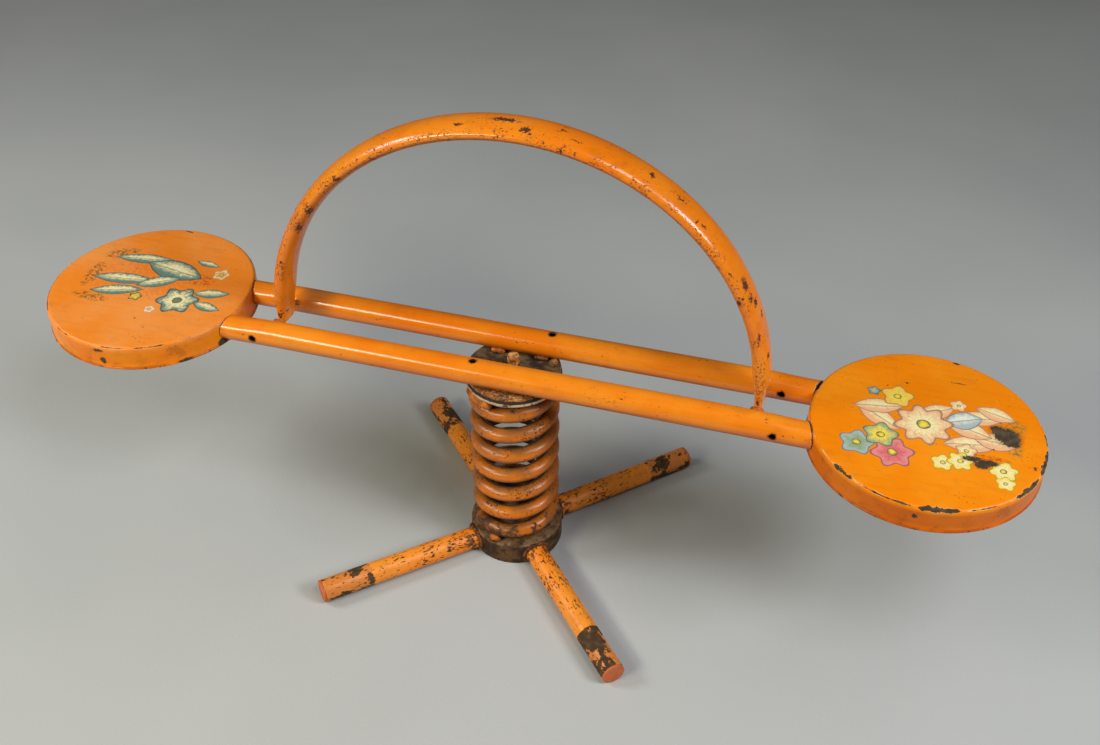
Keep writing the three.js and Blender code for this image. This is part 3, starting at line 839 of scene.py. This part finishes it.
def spring_material():
    """Orange paint under grey-brown dust and a painted sheen on its upper faces, with painted shade on its
    right, lower and inner faces, rusting towards both ends.
    """
    shade = Shade("spring_enamel")
    x, y, z = shade.split(shade.point)
    up = shade.split(shade.normal)[2]

    def cover(shade, colour):
        # Grey-brown on upward and left-facing faces: dust, and partly a painted sheen where light falls
        # from above.
        dust_and_sheen = shade.patches(0.3, 0.6, 30, 5.0, 0.6)
        dust = shade.most(shade.rise(up, 0.25, 0.95), shade.rise(shade.facing((-0.9, -0.2, 0.2)), 0.4, 1.0))
        colour = shade.over(colour, rgb(122, 82, 44), dust, dust_and_sheen, 0.75)
        settled = shade.times(shade.past(z, 75, 45), shade.past(x, 35, -20))
        clumps = shade.patches(0.34, 0.6, 60, 5.0, 0.65)
        colour = shade.over(colour, rgb(84, 56, 30), settled, clumps, 0.9)
        # Painted shade: the right-facing side of the wire is darkened.
        right = shade.rise(shade.facing((1, 0.2, 0)), 0.3, 1.0)
        colour = shade.over(colour, rgb(116, 54, 6), right, 0.45)
        # Painted shade: near-black on faces turned down or in towards the axis, between the coils.
        shaded_inward = shade.rise(shade.facing(shade.join(x, y)), 0.0, -0.5)
        return shade.over(colour, rgb(46, 20, 6), shade.most(shade.rise(up, 0.1, -0.65), shaded_inward), 0.86)

    left = shade.times(shade.past(x, 10, -40), 0.05)
    bottom = shade.times(shade.past(z, 75, 45), shade.plus(left, 0.13))
    top = shade.times(shade.past(z, 240, 270), 0.12)
    worn = shade.plus(shade.noise(80, 7.0, 0.7), bottom, top)
    return enamel(
        shade, rgb(206, 112, 14), rgb(182, 98, 20), 0.5, chips=0.7, pits=0.68, dirt=0.6, gloss=0.3,
        specular=0.42, metal=rgb(92, 56, 28), bare=shade.rise(worn, 0.63, 0.66), cover=cover)


def build_spring():
    """Four lengths of one wire, each shown in place of one CAD coil."""
    stops = [SPRING_FIRST, *SPRING_CUTS, SPRING["turns"] + SPRING_TIP]
    material = spring_material()
    for i in range(4):
        mesh = wire_mesh(stops[i], stops[i + 1], i == 0, i == 3)
        length = piece(f"spring_wire_{i + 1}", mesh, material, f"spring_coil_{i + 1}")
        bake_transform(length)


# ---- floor cross ----

def build_hub():
    radius, height, wall, top, bevel = (HUB[k] for k in ("radius", "height", "wall", "top", "bevel"))
    profile = [(0.4, height), (20, height), (40, height), (50, height)]
    profile += arc((radius - bevel, height - bevel), bevel, 90, 0, 5)
    profile += [(radius, 22), (radius, 12), (radius, 1), (radius - 1, 0), (radius - wall, 0)]
    profile += [(radius - wall, height - top), (20, height - top), (0.4, height - top)]

    def ledge(shade):
        level = shade.rise(shade.split(shade.normal)[2], 0.3, 0.8)
        return shade.times(level, shade.patches(0.42, 0.58, 70, 6.0, 0.7))

    dust = (ledge, rgb(134, 104, 74))
    rust = rusted("hub_rust", rgb(108, 76, 42), rgb(54, 36, 20), relief=0.9, tint=dust)
    mesh = dent(loft(turned(profile, 120), crease=50), 0.7, 13)
    piece("hub_drum", mesh, rust, "base_hub", "base")


def leg_material(name, leg):
    """Pitted orange paint. Past the line where a foot cap once sat, the paint is dull and flaking."""
    shade = Shade(f"leg_{name}_enamel")
    inputs = {"Vector": shade.point, "Angle": math.radians(-leg["heading"])}
    shade.point = shade.put("VectorRotate", inputs, rotation_type="Z_AXIS").outputs[0]
    x, _, z = shade.split(shade.point)
    line = leg["reach"] - LEG["boot"]
    capped = shade.past(shade.scaled(shade.noise(120, 4.0), 6 * MM, x), line + 2, line + 4)

    def cover(shade, colour):
        colour = shade.over(colour, rgb(206, 126, 64), capped, 0.7)
        return shade.over(colour, rgb(92, 48, 16), shade.past(z, 12, 0), 0.6)

    flake = shade.noise(62, 8.0, 0.66, shade.vector("MULTIPLY", shade.warped(8.0, 110), (0.6, 1, 1)))
    low = shade.times(shade.past(z, 24, 6), leg["low"])
    start = shade.times(shade.past(x, line + 30, line + 4), 0.05)
    peeled = shade.rise(shade.plus(flake, low, start), 1 - leg["bare"], 1.008 - leg["bare"])
    peeled = shade.times(capped, peeled)
    near_hub = shade.times(shade.past(x, 90, 64), shade.patches(0.5, 0.56, 90, 6.0, 0.65))
    return enamel(
        shade, rgb(240, 130, 18), rgb(244, 150, 50), 0.6, chips=0.75, pits=0.645, dirt=0.35, gloss=0.34,
        specular=0.35, grain=(0.45, 1, 1), metal=rgb(86, 64, 38), bare=shade.most(peeled, near_hub),
        cover=cover)


def lay(profile, leg):
    """Rings of a turned shape, laid on the floor along a leg."""
    return heading(along_x(turned(profile, 48)) + (0, 0, LEG["radius"]), leg["heading"])


def leg_tube(leg):
    radius, inner = LEG["radius"], LEG["radius"] - LEG["wall"]
    face = leg["reach"] - LEG["plug"]
    stations = [*np.linspace(HUB["radius"] - 4, face - 1.0, 60), face - 0.2]
    profile = [(radius, x) for x in stations[:-1]] + [(radius - 0.5, stations[-1])]
    profile += [(inner, x) for x in (stations[-1], stations[0])]
    return dent(loft(lay(profile, leg), ends="join"), 0.4, 30, LOOK_SEED + leg["heading"])


def leg_end(leg):
    """The disc that closes a leg, with a stub inside the tube."""
    radius, inner, reach = LEG["radius"], LEG["radius"] - LEG["wall"] - 0.3, leg["reach"]
    face = reach - LEG["plug"]
    profile = [(0.3, face - 8), (inner, face - 8), (inner, face), (radius - 0.5, face)]
    profile += arc((radius - 1.3, reach - 1.3), 1.3, 0, 90, 4)
    profile += [(r, reach) for r in (9, 5, 0.3)]
    return dent(loft(lay(profile, leg), crease=45), 0.25, 9, LOOK_SEED + leg["heading"])


def build_legs():
    for name, leg in LEGS.items():
        piece(f"leg_tube_{name}", leg_tube(leg), leg_material(name, leg), f"leg_{name}",
              "base")
        piece(f"leg_end_{name}", leg_end(leg), PLUG_PAINT, f"leg_plug_{name}", "base")


def plug_material():
    shade = Shade("plug_enamel")
    return enamel(
        shade, rgb(206, 100, 36), rgb(190, 100, 52), 0.5, chips=0.66, pits=0.68, dirt=0.5, gloss=0.45)


# ---- welds ----

# Welds along X: how far each lies from the middle, how long and thick it is, and how its ends curl out.
RAIL_BEAD = {"y": 24.8, "z": 283.2, "half": 9, "curl": 0, "size": 4.4, "ripple": 6, "flat": 0.9}
ARCH_BEAD = {"y": 20.6, "z": 303.5, "half": 8, "curl": 0.012, "size": 3.6, "ripple": 3.4, "flat": 1.0}
RAIL_BEAD_X = 27
COIL_BEAD_RADIUS = 53.2


def bead(path, size, ripple=3.4, flat=0.8, up=(0, 0, 1)):
    """A bead of weld laid along a path: overlapping ripples, uneven, round at both ends."""
    travel = np.concatenate([[0], np.cumsum(np.linalg.norm(np.diff(path, axis=0), axis=1))])
    fine = np.linspace(0, travel[-1], max(24, round(travel[-1] / 0.7)))
    path = np.stack([np.interp(fine, travel, path[:, i]) for i in range(3)], 1)
    to_end = np.minimum(fine, travel[-1] - fine)
    rounded = np.sqrt(np.clip(1 - (1 - np.clip(to_end / size, 0, 1)) ** 2, 0.004, 1))
    uneven = np.array([noise.noise(Vector(p) / 6 + Vector((LOOK_SEED, 0, 0))) for p in path])
    waves = 1 - 0.1 * np.abs(np.sin(fine * math.pi / ripple)) + 0.18 * uneven
    radius = (size * rounded * waves)[:, None]
    forward = unit(np.gradient(path, axis=0))
    across = unit(np.cross(forward, up))
    rings = sections(path, radius * across, radius * flat * np.cross(across, forward), 16)
    return dent(dent(loft(rings, crease=60), 0.9, 2.6), 0.7, 5, 2 * LOOK_SEED)


def leg_bead(turn):
    """Follows the line where a leg meets the hub, above the floor."""
    radius = LEG["radius"] + 1.2
    angle = np.radians(np.linspace(-38, 218, 60))
    y = radius * np.cos(angle)
    z = LEG["radius"] + radius * np.sin(angle)
    x = np.sqrt((HUB["radius"] + 1.0) ** 2 - y ** 2)
    path = heading(np.stack([x, y, np.minimum(z, HUB["height"] - 2.5)], 1), turn)
    return bead(path, 3.8, up=heading(np.array([1.0, 0, 0]), turn))


def coil_bead(height, start, stop, size, **shape):
    """Lies on the outside of the spring's end, between two bearings."""
    angle = np.radians(np.linspace(start, stop, 30))
    return bead(polar(COIL_BEAD_RADIUS, angle, float(height)), size, **shape)


def beam_bead(x, side, place):
    along = np.linspace(-place["half"], place["half"], 12)
    y = side * (place["y"] + place["curl"] * along ** 2)
    path = np.stack([x + along, y, np.full(12, place["z"])], 1)
    return bead(path, place["size"], place["ripple"], place["flat"])


def build_welds():
    for name, leg in LEGS.items():
        piece(f"weld_leg_{name}", leg_bead(leg["heading"]), WELD_DARK, f"leg_weld_{name}",
              "base")
    low = coil_bead(HUB["height"] + 4.6, -112, -96, 4.9, ripple=5)
    piece("weld_spring_low", low, WELD_ORANGE, "spring_weld_lower", "base")
    high = coil_bead(262.4, -149, -102, 7.2, ripple=17, flat=1.18)
    piece("weld_spring_high", high, WELD_ORANGE, "spring_weld_upper", "beam")
    for row, side in RAIL_SIDES.items():
        for hand, end in (("left", -1), ("right", 1)):
            corner = f"{row}_{hand}"
            # The rear right rail weld lies under the rail and takes the dark weld finish as painted shade.
            paint = WELD_DARK if corner == "rear_right" else WELD_ORANGE
            mesh = beam_bead(end * RAIL_BEAD_X, side, RAIL_BEAD)
            piece(f"weld_rail_{corner}", mesh, paint, f"rail_weld_{corner}", "beam")
            mesh = beam_bead(end * ARCH["x"], side, ARCH_BEAD)
            piece(f"weld_arch_{corner}", mesh, WELD_ORANGE, f"arch_weld_{corner}", "beam")


# ---- plates and bolts ----

BORE = 5.1  # radius of the hole for the centre bolt
DECK = PLATE_UPPER["bottom"] + PLATE_UPPER["thickness"]


def lower_plate_mesh():
    """A shallow cap: its lip hangs round the top of the spring."""
    radius, bottom, bevel = (PLATE_LOWER[k] for k in ("radius", "bottom", "bevel"))
    inside, lip = PLATE_LIP["inside"], PLATE_LIP["bottom"]
    top = bottom + PLATE_LOWER["thickness"]
    profile = [(BORE, bottom), (30, bottom), (inside, bottom), (inside, lip + 0.3), (inside + 0.3, lip)]
    profile += [(radius - 0.5, lip), (radius, lip + 0.5), (radius, top - bevel - 0.8)]
    profile += arc((radius - bevel, top - bevel), bevel, 0, 90, 5)
    profile += [(radius - 12, top), (radius - 30, top), (BORE, top)]
    return dent(loft(turned(profile, 140), ends="join", crease=50), 0.3, 12)


def upper_plate_mesh():
    radius, bottom, bevel = (PLATE_UPPER[k] for k in ("radius", "bottom", "bevel"))
    top, soft = bottom + PLATE_UPPER["thickness"], 0.7
    profile = [(BORE, bottom), (30, bottom)]
    profile += arc((radius - bevel, bottom + bevel), bevel, -90, 0, 4)
    profile += arc((radius - soft, top - soft), soft, 0, 90, 3)
    profile += [(r, top) for r in (50, 44, 37, 30, 22, 14, BORE)]
    return dent(loft(turned(profile, 140), ends="join", crease=50), 0.35, 11)


def hexed(profile, corner):
    """Rings of a six-sided bar, from (size, height) points. A size under the flats' own stays round."""
    angle, sixth = full_circle(72), math.pi / 3
    flat = corner * math.cos(sixth / 2) / np.cos((angle % sixth) - sixth / 2)
    size, height = np.asarray(profile, float).T[..., None]
    return polar(np.minimum(flat, size), angle, height)


def bolt_mesh(shank, corner, low, shoulder, top, turn, at=(0, 0)):
    """A shank with a six-sided head, chamfered on top. The heights are where each part starts."""
    chamfer = corner * 0.9
    profile = [(0.3, low), (shank - 0.6, low), (shank, low + 0.8), (shank, shoulder), (corner, shoulder)]
    profile += [(corner, top - 1.6), (chamfer, top), (chamfer * 0.6, top), (0.3, top)]
    return dent(loft(heading(hexed(profile, corner), turn) + (*at, 0), crease=30), 0.3, 4)


def plate_material(name, edge=0.0):
    """Dark rusty plate. Its front keeps rough orange paint, and edge is how strongly its lip shows a cream
    line: a painted highlight on partly worn, bright paint.
    """
    shade = Shade(name)
    x, y, z = shade.split(shade.point)
    lip, seam = PLATE_LIP["bottom"] + 4, PLATE_UPPER["bottom"]
    patchy = shade.noise(55, 7.0, 0.68)
    colour = shade.mix(shade.rise(patchy, 0.4, 0.62), rgb(44, 34, 22), rgb(104, 80, 52))
    front = shade.past(shade.scaled(shade.noise(60, 5.0), 30 * MM, y), -10, -26)
    keep = shade.times(front, shade.patches(0.47, 0.53, 330, 5.0, 0.75))
    paint = shade.mix(shade.rise(patchy, 0.45, 0.6), rgb(170, 98, 34), rgb(200, 134, 72))
    colour = shade.mix(keep, colour, paint)
    # Painted shade, with some dirt: a near-black band in the crease between the two plates.
    gap = shade.times(shade.past(z, lip - 0.3, lip + 0.3), shade.past(z, seam + 0.4, seam - 0.1))
    colour = shade.over(colour, rgb(30, 20, 11), gap, 0.95)
    # Painted highlight on worn paint: a cream line along the front of the lip.
    highlight_breaks = shade.patches(0.4, 0.46, 60, 5.0, 0.65)
    worn_lip_highlight = shade.times(
        shade.past(z, lip + 0.3, lip - 0.3), highlight_breaks, shade.past(y, -20, -36), edge, shade.past(x, -52, -34))
    colour = shade.mix(worn_lip_highlight, colour, rgb(230, 206, 168))
    height = shade.scaled(shade.plus(shade.noise(420, 5.0, 0.75), keep), 0.5, patchy)
    return shade.finish(colour, shade.between(worn_lip_highlight, 0.78, 0.4), height, 0.5)


def build_plates():
    lower = plate_material("plate_lower_rust", edge=0.9)
    piece("disc_lower", lower_plate_mesh(), lower, "plate_lower", "beam")
    upper = plate_material("plate_upper_rust")
    piece("disc_upper", upper_plate_mesh(), upper, "plate_upper", "beam")


def build_centre_bolt():
    """The bolt through both plates, on a washer, with a nut below."""
    under = PLATE_LOWER["bottom"] - SNUG
    shank, head, top, shoulder, below = CENTRE_BOLT.values()
    mesh = bolt_mesh(shank, head, under - below, shoulder, top, 12)
    piece("bolt_centre", mesh, BOLT_PAINT, "centre_bolt", "beam")
    radius, thickness, soft = WASHER.values()
    low, high = DECK + SNUG, DECK + SNUG + thickness
    ring = [(BORE, low), (radius - soft, low), (radius, low + soft)]
    ring += [(radius, high - soft), (radius - soft, high), (BORE, high)]
    mesh = loft(turned(ring, 64), ends="join")
    piece("washer_centre", mesh, HARDWARE, "centre_washer", "beam")
    corner, height, chamfer = NUT.values()
    low = under - height
    nut = [(BORE, low), (corner - chamfer, low), (corner, low + 1.2), (corner, under), (BORE, under)]
    mesh = loft(hexed(nut, corner), ends="join", crease=30)
    piece("nut_centre", mesh, HARDWARE, "centre_nut", "beam")


def build_side_bolts():
    for hand, end in (("right", 1), ("left", -1)):
        spot = (end * SIDE_BOLT["x"], end * SIDE_BOLT["y"])
        shank, head, bottom, height = (SIDE_BOLT[k] for k in ("shank", "head", "bottom", "height"))
        mesh = bolt_mesh(shank, head, bottom, DECK + SNUG, DECK + height, 25, spot)
        piece(f"bolt_side_{hand}", mesh, BOLT_DUSTY, f"side_bolt_{hand}", "beam")


# ---- stage ----

CAMERA = {
    "at": (340.43, -1046.25, 1198.4),
    "azimuth": 15.776,
    "elevation": 40.058,
    "roll": 0.189,
    "lens": 39.49,
}
AIM = Vector((0, 0, 0.25))
LIGHTS = [
    {"azimuth": -75, "elevation": 35, "power": 22, "size": (0.8, 0.8)},
    {"azimuth": -36, "elevation": 30, "power": 29, "size": (1.3, 0.36), "tone": (1.0, 0.92, 0.68)},
    {"azimuth": 75, "elevation": 35, "power": 30, "size": (0.8, 0.8)},
    {"azimuth": 55, "elevation": 58, "power": 13, "size": (0.8, 0.8)},
]
LIGHT_DISTANCE = 2.4
AMBIENT = 0.05


def build_floor():
    mesh = bpy.data.meshes.new("floor")
    reach = 6.0
    corners = [(-reach, -reach, 0), (reach, -reach, 0), (reach, reach, 0), (-reach, reach, 0)]
    mesh.from_pydata(corners, [], [(0, 1, 2, 3)])
    shade = Shade("floor_plain")
    colour = shade.mix(shade.patches(0.3, 0.7, 1.2, 3.0), rgb(171, 175, 176), rgb(182, 185, 186))
    mesh.materials.append(shade.finish(colour, 0.9, shade.noise(300, 3.0), 0.2))
    show("floor", mesh)


def build_lights():
    """Soft lights, (width, height) in metres across. Azimuth 0 is in front, and grows towards +X."""
    for number, light in enumerate(LIGHTS):
        azimuth, elevation = math.radians(light["azimuth"]), math.radians(light["elevation"])
        level = math.cos(elevation)
        away = Vector((math.sin(azimuth) * level, -math.cos(azimuth) * level, math.sin(elevation)))
        data = bpy.data.lights.new(f"soft_{number}", "AREA")
        data.shape = "ELLIPSE"
        data.size, data.size_y = light["size"]
        data.energy = light["power"]
        data.color = light.get("tone", (1.0, 1.0, 1.0))
        lamp = show(data.name, data)
        lamp.location = AIM + LIGHT_DISTANCE * away
        lamp.rotation_euler = away.to_track_quat("Z", "Y").to_euler()
    world = bpy.data.worlds.new("studio")
    world.use_nodes = True
    background = world.node_tree.nodes["Background"]
    background.inputs["Color"].default_value = (1.0, 1.0, 0.98, 1)
    background.inputs["Strength"].default_value = AMBIENT
    bpy.context.scene.world = world


def build_camera():
    azimuth, elevation, roll = (math.radians(CAMERA[k]) for k in ("azimuth", "elevation", "roll"))
    level = math.cos(elevation)
    forward = Vector((-math.sin(azimuth) * level, math.cos(azimuth) * level, -math.sin(elevation)))
    right = forward.cross(Vector((0, 0, 1))).normalized()
    up = right.cross(forward)
    cosine, sine = math.cos(roll), math.sin(roll)
    axes = Matrix((right * cosine + up * sine, up * cosine - right * sine, -forward)).transposed()
    data = bpy.data.cameras.new("camera")
    data.sensor_width = 36
    data.lens = CAMERA["lens"]
    data.clip_end = 50
    camera = show("camera", data)
    camera.matrix_world = Matrix.Translation(Vector(CAMERA["at"]) * MM) @ axes.to_4x4()
    bpy.context.scene.camera = camera


PLUG_PAINT = plug_material()
BOLT_PAINT = rusted("bolt_enamel", rgb(222, 162, 96), rgb(132, 76, 28), scale=140, relief=0.3, gloss=0.5)
BOLT_DUSTY = rusted("bolt_dusty", rgb(164, 118, 72), rgb(84, 58, 32), scale=140, relief=0.3, gloss=0.6)
HARDWARE = rusted("hardware_rust", rgb(126, 116, 98), rgb(66, 54, 42), scale=120, relief=0.3, gloss=0.5)
WELD_ORANGE = rusted("weld_painted", rgb(214, 118, 28), rgb(138, 74, 22), scale=90, relief=0.8, gloss=0.5)
WELD_DARK = rusted("weld_rust_and_shade", rgb(142, 80, 34), rgb(58, 34, 18), scale=100, relief=0.6, gloss=0.65)

build_seats()
build_rails()
build_handle()
build_spring()
build_hub()
build_legs()
build_welds()
build_plates()
build_centre_bolt()
build_side_bolts()
build_floor()
build_lights()
build_camera()
bpy.context.scene.view_settings.view_transform = "Standard"
